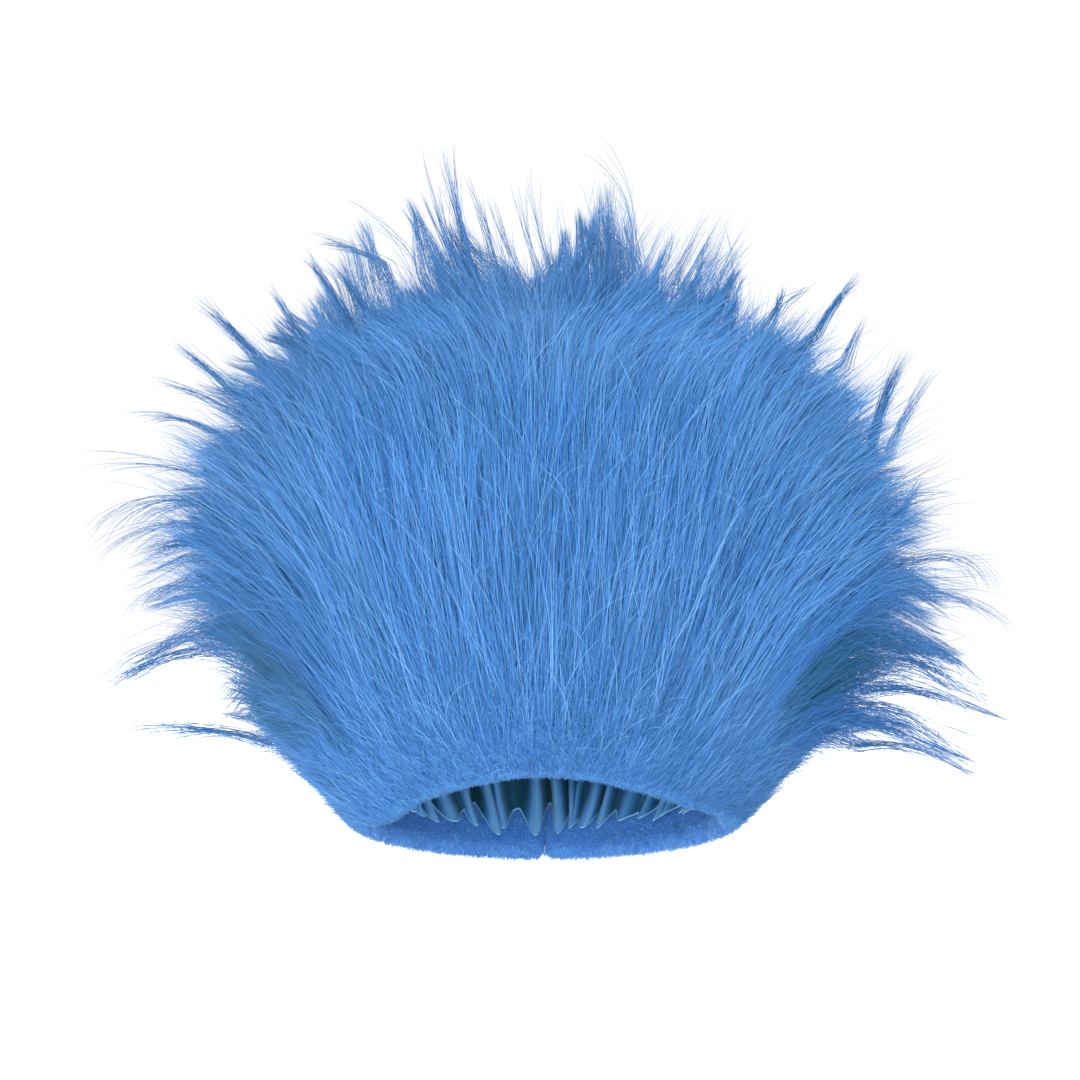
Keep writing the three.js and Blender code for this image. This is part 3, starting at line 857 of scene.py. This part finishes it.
def plush(turns, length, count, draw):
    """Short plush on the fold and the facing of the rim band: its strands, shades and the faces below."""
    path = band_outline()[0][1:]
    lengths = np.concatenate([[0], np.cumsum(np.linalg.norm(np.diff(path, axis=0), axis=-1))])

    def along_path(place):
        return [np.interp(place, lengths, path[:, k]) for k in range(2)]

    place = draw.uniform(0, lengths[-1], count)
    turn = draw.uniform(*turns, count)
    depth, height = along_path(place)
    ahead = place + PLUSH_PROBE
    ends = zip(along_path(ahead), along_path(ahead - 2 * PLUSH_PROBE), strict=True)
    run = unit(np.stack([end - start for end, start in ends], axis=-1))
    roots = rim_points(turn, depth, height)
    _, up, out = shell_axes(turn, climb_at(height))
    face = unit(out * -run[:, 1:] + up * run[:, :1])
    way = -(out * run[:, :1] + up * run[:, 1:])
    nap = 0.7 + 0.4 * np.sin(turn * 31) * np.sin(turn * 13 + 1.0)
    heading = unit(face + way * nap[:, None] + draw.normal(0.0, 0.33, (count, 3)))
    bend = draw.normal(0.0, 0.3, (count, 3))
    length = length * draw.uniform(0.6, 1.15, count)
    along = np.linspace(0, 1, PLUSH_STEPS + 1)[None, :, None]
    strands = roots[:, None] + (heading[:, None] + bend[:, None] * along) * along * length[:, None, None]
    patches = 0.22 * np.sin(turn * 57 + 3 * np.sin(turn * 23)) * np.cos(place * 700 + 2 * np.sin(turn * 31))
    return strands, np.clip(draw.random(count) * 0.7 + 0.15 + patches, 0.01, 0.99), face


def fold_crest(turn, slack):
    """How far each fold of the frill opens, from 1 on its crest to -1 in the valley, and the folds' phase."""
    phase = 2 * FRILL_PLEATS * turn + 1.8 * np.sin(2 * turn + 0.6)
    phase = phase + 2.6 * np.sin(5 * turn) + 1.2 * np.sin(13 * turn)
    phase = phase + slack * (1.5 * np.sin(7 * turn + 2.0) + 1.2 * np.sin(19 * turn + 4 * slack))
    strength = 0.72 + 0.26 * np.sin(3.7 * turn + 1.3) + 0.3 * np.sin(17 * turn)
    crest = 2 * (0.5 + 0.5 * np.cos(phase)) ** 1.7 - 1
    return crest * strength, phase


def frill_points(turn, rise, side):
    """Points on one side of the gathered frill. Its folds open out and hang unevenly at its hem."""
    slack = (1 - rise) ** 1.1
    crest, phase = fold_crest(turn, slack)
    height = FRILL_HEM + (FRILL_TOP - FRILL_HEM) * rise - FRILL_DIP * slack * crest
    crease = 0.2 * np.cos(2 * phase + 0.8) * (1 - rise)
    inward = (FRILL_STAND + FRILL_WAVE * (crest + crease + 0.9)) * smooth(1 - rise, 0.0, 0.7)
    depth = LINING_DEPTH - inward + side * LINING_THICKNESS / 2
    lean = 0.04 * np.sin(2 * turn) + 0.035 * np.sin(11 * turn + 1.0) + 0.02 * np.sin(29 * turn)
    shifted = turn + slack * (0.016 * np.sin(phase + 0.5) + lean)
    return layer_point(shifted, climb_at(height), depth)


def paint_fold_light(cloth, turn, rise):
    """Marks each point of the frill with painted light: a painted highlight on the crests, and painted shade
    in the valleys and further up inside.
    """
    crest, phase = fold_crest(turn, (1 - rise) ** 1.1)
    shade = smooth(rise, 0.1, 0.75) * mix(0.85, 0.45, smooth(np.sin(3.7 * turn + 1.3), 0.3, 0.9))
    painted_light = np.clip((0.5 + 0.5 * crest + 0.12 * np.cos(2 * phase)) * (1 - shade), 0, 1).ravel()
    colours = np.repeat(np.concatenate([painted_light, painted_light]), 4)
    layer = cloth.data.color_attributes.new(PAINTED_FOLD_LIGHT, "FLOAT_COLOR", "POINT")
    layer.data.foreach_set("color", colours.astype(np.float32))


def rolled_hem(name, edge):
    """The rolled hem along the frill's edge."""
    run = unit(np.gradient(edge, axis=0))
    side = unit(np.cross(run, np.array([0.0, 0.0, 1.0])))
    other = np.cross(run, side)
    angle = np.linspace(0, 2 * math.pi, 8, endpoint=False)
    ring = side[:, None] * np.cos(angle)[None, :, None] + other[:, None] * np.sin(angle)[None, :, None]
    return new_object(name, closed_sweep(name, edge[:, None] + ring * HEM_RADIUS))


def frill(name, turns):
    """Half of the satin frill inside the rim, as a closed sheet, and its hem."""
    share, rise = np.meshgrid(np.linspace(0, 1, 521), np.linspace(0, 1, 27) ** 1.2)
    turn = mix(turns[0] + FRILL_GAP, turns[1] - FRILL_GAP, share)
    cloth = new_object(name, closed_sheet(name, frill_points(turn, rise, 1), frill_points(turn, rise, -1)))
    paint_fold_light(cloth, turn, rise)
    hem = rolled_hem(name + "_hem", frill_points(turn[0], rise[0], 0))
    return cloth, hem


# --- Materials ---


def new_material(name):
    """A material with its node tree, and its shader."""
    material = bpy.data.materials.new(name)
    material.use_nodes = True
    return material, material.node_tree, material.node_tree.nodes["Principled BSDF"]


def adjust(node, values):
    """Sets the inputs of a node by name."""
    for name, value in values.items():
        node.inputs[name].default_value = value


def ramp(tree, stops):
    """A colour ramp node with the given places and colours."""
    node = tree.nodes.new("ShaderNodeValToRGB")
    while len(node.color_ramp.elements) < len(stops):
        node.color_ramp.elements.new(0.5)
    for element, (place, colour) in zip(node.color_ramp.elements, stops, strict=True):
        element.position = place
        element.color = (*colour, 1.0)
    return node


def multiply(tree, a, b):
    """A node that multiplies two colours."""
    node = tree.nodes.new("ShaderNodeMix")
    node.data_type = "RGBA"
    node.blend_type = "MULTIPLY"
    node.inputs["Factor"].default_value = 1.0
    tree.links.new(a, node.inputs["A"])
    tree.links.new(b, node.inputs["B"])
    return node.outputs["Result"]


def texture(tree, kind, values):
    """A texture over an object's own coordinates."""
    node = tree.nodes.new(kind)
    adjust(node, values)
    place = tree.nodes.new("ShaderNodeTexCoord")
    tree.links.new(place.outputs["Object"], node.inputs["Vector"])
    return node


def tinted(tree, value, stops, shader):
    """Colours a shader by a value, through a colour ramp."""
    tone = ramp(tree, stops)
    tree.links.new(value, tone.inputs["Fac"])
    tree.links.new(tone.outputs["Color"], shader.inputs["Base Color"])


def raised(tree, value, distance, strength, shader):
    """Raises a shader's surface by a value."""
    bump = tree.nodes.new("ShaderNodeBump")
    adjust(bump, {"Distance": distance, "Strength": strength})
    tree.links.new(value, bump.inputs["Height"])
    tree.links.new(bump.outputs["Normal"], shader.inputs["Normal"])


def strand_material(name, shades, root, tip, roughness):
    """Fibre whose shade varies from strand to strand, with painted shade darkening it towards the root and
    painted light at the tip.
    """
    material, tree, shader = new_material(name)
    place = tree.nodes.new("ShaderNodeUVMap")
    place.uv_map = STRAND_MAP
    split = tree.nodes.new("ShaderNodeSeparateXYZ")
    tree.links.new(place.outputs["UV"], split.inputs["Vector"])
    shade = ramp(tree, [(k / (len(shades) - 1), colour) for k, colour in enumerate(shades)])
    tree.links.new(split.outputs["X"], shade.inputs["Fac"])
    # Painted shade towards the root, deep in the pile, and painted light at the tip.
    length = ramp(tree, [(0.0, (root,) * 3), (0.45, (1.0,) * 3), (1.0, (tip,) * 3)])
    tree.links.new(split.outputs["Y"], length.inputs["Fac"])
    colour = multiply(tree, shade.outputs["Color"], length.outputs["Color"])
    tree.links.new(colour, shader.inputs["Base Color"])
    adjust(shader, {"Roughness": roughness, "Specular IOR Level": 0.45})
    adjust(shader, {"Sheen Weight": 0.25, "Sheen Roughness": 0.4, "Sheen Tint": (0.36, 0.68, 1.0, 1.0)})
    return material


def fabric_material(name, colour, roughness, scale, depth, sheen=0.3):
    """Matt cloth with a fine uneven surface."""
    material, tree, shader = new_material(name)
    grain = texture(tree, "ShaderNodeTexNoise", {"Scale": scale, "Detail": 3.0}).outputs["Fac"]
    light = [min(1.0, 1.2 * c) for c in colour]
    tinted(tree, grain, [(0.3, [0.8 * c for c in colour]), (0.7, light)], shader)
    raised(tree, grain, depth, 1.0, shader)
    sheen_tint = (*[c / max(colour) for c in colour], 1.0)
    adjust(shader, {"Roughness": roughness, "Sheen Weight": sheen, "Sheen Tint": sheen_tint})
    return material


def knit_material(name, colour):
    """A knitted backing: fine rows of stitches."""
    material, tree, shader = new_material(name)
    stitches = {"Scale": 190.0, "Distortion": 2.0, "Detail": 2.0, "Detail Scale": 4.0}
    rows = texture(tree, "ShaderNodeTexWave", stitches)
    rows.bands_direction = "Z"
    stops = [(0.0, [0.7 * c for c in colour]), (1.0, [1.2 * c for c in colour])]
    tinted(tree, rows.outputs["Fac"], stops, shader)
    raised(tree, rows.outputs["Fac"], 0.0003, 1.0, shader)
    adjust(shader, {"Roughness": 0.85})
    return material


def satin_material(name, colour, folds=None):
    """Polyester satin with a broad soft shine and a faint crinkle, and, if folds are given, painted shade in
    its valleys and a painted highlight on its crests.
    """
    material, tree, shader = new_material(name)
    crinkle = texture(tree, "ShaderNodeTexNoise", {"Scale": 140.0, "Detail": 4.0})
    raised(tree, crinkle.outputs["Fac"], 0.0012, 0.6, shader)
    adjust(shader, {"Base Color": (*colour, 1.0), "Roughness": 0.36, "Specular IOR Level": 0.6})
    adjust(shader, {"Sheen Weight": 0.3, "Sheen Tint": (0.5, 0.75, 1.0, 1.0)})
    if folds:
        # Painted shade and highlight, read from the frill's fold attribute.
        painted_light = tree.nodes.new("ShaderNodeAttribute")
        painted_light.attribute_name = PAINTED_FOLD_LIGHT
        tinted(tree, painted_light.outputs["Fac"], folds, shader)
    return material


def plain_material(name, colour, roughness):
    """A plain thread or tape."""
    material, _, shader = new_material(name)
    adjust(shader, {"Base Color": (*colour, 1.0), "Roughness": roughness})
    return material


# --- Assembly ---

PANELS = {"front": FRONT, "rear_right": REAR_RIGHT, "rear_left": REAR_LEFT}
HALVES = {"front": FRONT, "rear": REAR}

pile_fibre = strand_material("pile_fibre", PILE_SHADES, root=0.88, tip=1.08, roughness=0.42)
plush_fibre = strand_material("plush_fibre", PLUSH_SHADES, root=0.6, tip=1.1, roughness=0.5)
plush_cloth = fabric_material("plush_cloth", (0.055, 0.220, 0.60), 0.9, 900.0, 0.0006, sheen=0.6)
brow_fibre = strand_material("brow_fibre", PILE_SHADES[1:], root=0.8, tip=1.1, roughness=0.5)
# Darker than plush_cloth: painted shade, to match the self-shadowed pile above the brow.
brow_cloth = fabric_material("brow_cloth", (0.036, 0.170, 0.44), 0.9, 900.0, 0.0006, sheen=0.2)
knit = knit_material("knit_backing", (0.016, 0.13, 0.21))
wadding_fibre = fabric_material("wadding_fibre", (0.72, 0.74, 0.76), 0.95, 260.0, 0.0015)
satin = satin_material("satin_lining", (0.016, 0.135, 0.31))
frill_satin = satin_material("satin_frill", (0.03, 0.17, 0.40), folds=FRILL_PAINTED_LIGHT)
# Lighter than the frill's satin: a painted highlight along the rolled edge.
hem_satin = satin_material("satin_hem", (0.17, 0.43, 0.74))
elastic_tape = fabric_material("elastic_tape", (0.75, 0.76, 0.78), 0.7, 1500.0, 0.0002)
blue_thread = plain_material("blue_thread", (0.03, 0.14, 0.40), 0.6)


def finish_piece(piece, material, node, panel):
    """Gives a piece its material, hides the frame part that it stands for, and joins a front piece to the
    cap.

    A rear piece is left unjoined, with its transform baked into its mesh, as the rear of the cap stretches
    with the rear lip.
    """
    piece.data.materials.append(material)
    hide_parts(node)
    if panel == "front":
        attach(piece, "cap")
    else:
        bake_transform(piece)


def strand_count(total, turns):
    """A panel's share of a number of strands."""
    return int(total * QUICK_SHARE * (turns[1] - turns[0]) / (2 * math.pi))


def pile_piece(name, strands, shade, panel="front", radius=STRAND_RADIUS):
    """One finished piece of a panel's pile."""
    piece = new_object(name, strand_mesh(name, strands, shade, radius))
    finish_piece(piece, pile_fibre, f"pile_{panel}", panel)


def layers():
    """The backing, wadding and lining of each panel."""
    for panel, turns in PANELS.items():
        backing = layer_panel(f"knit_{panel}", turns, BAND_TOP + TOUCH_GAP, BACKING)
        finish_piece(backing, knit, f"backing_{panel}", panel)
        fill = layer_panel(f"fill_{panel}", turns, BAND_TOP + TOUCH_GAP, WADDING, WADDING_BULGE)
        finish_piece(fill, wadding_fibre, f"wadding_{panel}", panel)
        inside = layer_panel(f"satin_{panel}", turns, FRILL_TOP + TOUCH_GAP, LINING)
        finish_piece(inside, satin, f"lining_{panel}", panel)


def rims():
    """The plush binding of the opening."""
    for panel, turns in PANELS.items():
        at_brow = panel == "front"
        band = rim_band(f"binding_{panel}", turns)
        finish_piece(band, brow_cloth if at_brow else plush_cloth, f"rim_band_{panel}", panel)
        length = BROW_FUZZ if at_brow else PLUSH_LENGTH
        strands, shade, face = plush(turns, length, strand_count(PLUSH_STRANDS, turns), rng)
        nap = new_object(f"plush_{panel}", strand_mesh(f"plush_{panel}", strands, shade, PLUSH_RADIUS, face))
        finish_piece(nap, brow_fibre if at_brow else plush_fibre, f"rim_band_{panel}", panel)


def frills():
    """The gathered satin frill inside the opening."""
    for half, turns in HALVES.items():
        cloth, hem = frill(f"frill_{half}", turns)
        finish_piece(cloth, frill_satin, f"lining_frill_{half}", half)
        finish_piece(hem, hem_satin, f"lining_frill_{half}", half)


def threads_and_elastic():
    """New materials for the frame's own threads and elastic."""
    for name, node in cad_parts.items():
        if "thread" in name:
            node.material_slots[0].material = blue_thread
        elif "elastic" in name:
            node.material_slots[0].material = elastic_tape


def pile():
    """All the long pile, in pieces small enough to handle."""
    for panel, turns in PANELS.items():
        grown = fur(turns, (float(climb_at(PILE_EDGE)), TOP_CLIMB), strand_count(PILE_STRANDS, turns), rng)
        for layer, (strands, shade) in grown.items():
            order = np.argsort(strands[:, 0, 2])
            triangles = len(strands) * (6 * strands.shape[1] - 8)
            for k, part in enumerate(np.array_split(order, math.ceil(triangles / MESH_TRIANGLES))):
                pile_piece(f"{layer}_{panel}_{k + 1:02d}", strands[part], shade[part], panel)
        coat = rim_coat(turns, RIM_COAT_TOP, strand_count(RIM_STRANDS, turns), rng)
        pile_piece(f"rim_coat_{panel}", *coat, panel)
    pile_piece("brow_coat", *rim_coat(FRONT, BROW_COAT_TOP, int(BROW_STRANDS * QUICK_SHARE), rng))
    pile_piece("flyaways", *flyaways(rng), radius=FLYAWAY_RADIUS)


# --- Studio ---


def aim(item, target):
    """Turns a lamp or camera so that it looks at a point."""
    item.rotation_euler = (Vector(target) - item.location).to_track_quat("-Z", "Y").to_euler()


def soft_light(name, place, width, power):
    """A round soft light that shines on the cap."""
    lamp = bpy.data.lights.new(name, "AREA")
    lamp.shape = "DISK"
    lamp.energy = power
    lamp.size = width
    item = new_object(name, lamp)
    item.location = place
    aim(item, LIGHTS_AIM)


def studio():
    """A white surround, and broad soft lights."""
    world = bpy.data.worlds.new("studio")
    bpy.context.scene.world = world
    world.use_nodes = True
    adjust(world.node_tree.nodes["Background"], {"Color": (1.0, 1.0, 1.0, 1.0), "Strength": 1.0})
    bpy.context.scene.view_settings.view_transform = "Standard"
    for name, (place, width, power) in SOFT_LIGHTS.items():
        soft_light(name, place, width, power)


def floor():
    """A plain pale floor, below where the rear lip stretches to. It is bright enough to hide its edge."""
    mesh = bpy.data.meshes.new("floor")
    signs = ((-1, -1), (1, -1), (1, 1), (-1, 1))
    corners = [(x * FLOOR_REACH, y * FLOOR_REACH, FLOOR_HEIGHT) for x, y in signs]
    mesh.from_pydata(corners, [], [(0, 1, 2, 3)])
    material, _, shader = new_material("pale_floor")
    adjust(shader, {"Base Color": (0.8, 0.8, 0.8, 1.0), "Roughness": 1.0, "Specular IOR Level": 0.0})
    adjust(shader, {"Emission Color": (1.0, 1.0, 1.0, 1.0), "Emission Strength": FLOOR_GLOW})
    mesh.materials.append(material)
    new_object("floor", mesh)


def camera():
    """A long lens straight in front, level with the middle of the cap."""
    view = bpy.data.cameras.new("camera")
    view.lens = LENS
    view.sensor_width = 36
    item = new_object("camera", view)
    item.location = (CAMERA_SIDE, -CAMERA_AWAY, CAMERA_HEIGHT)
    aim(item, (CAMERA_SIDE, 0, CAMERA_HEIGHT))
    bpy.context.scene.camera = item


layers()
rims()
frills()
threads_and_elastic()
pile()
studio()
floor()
camera()
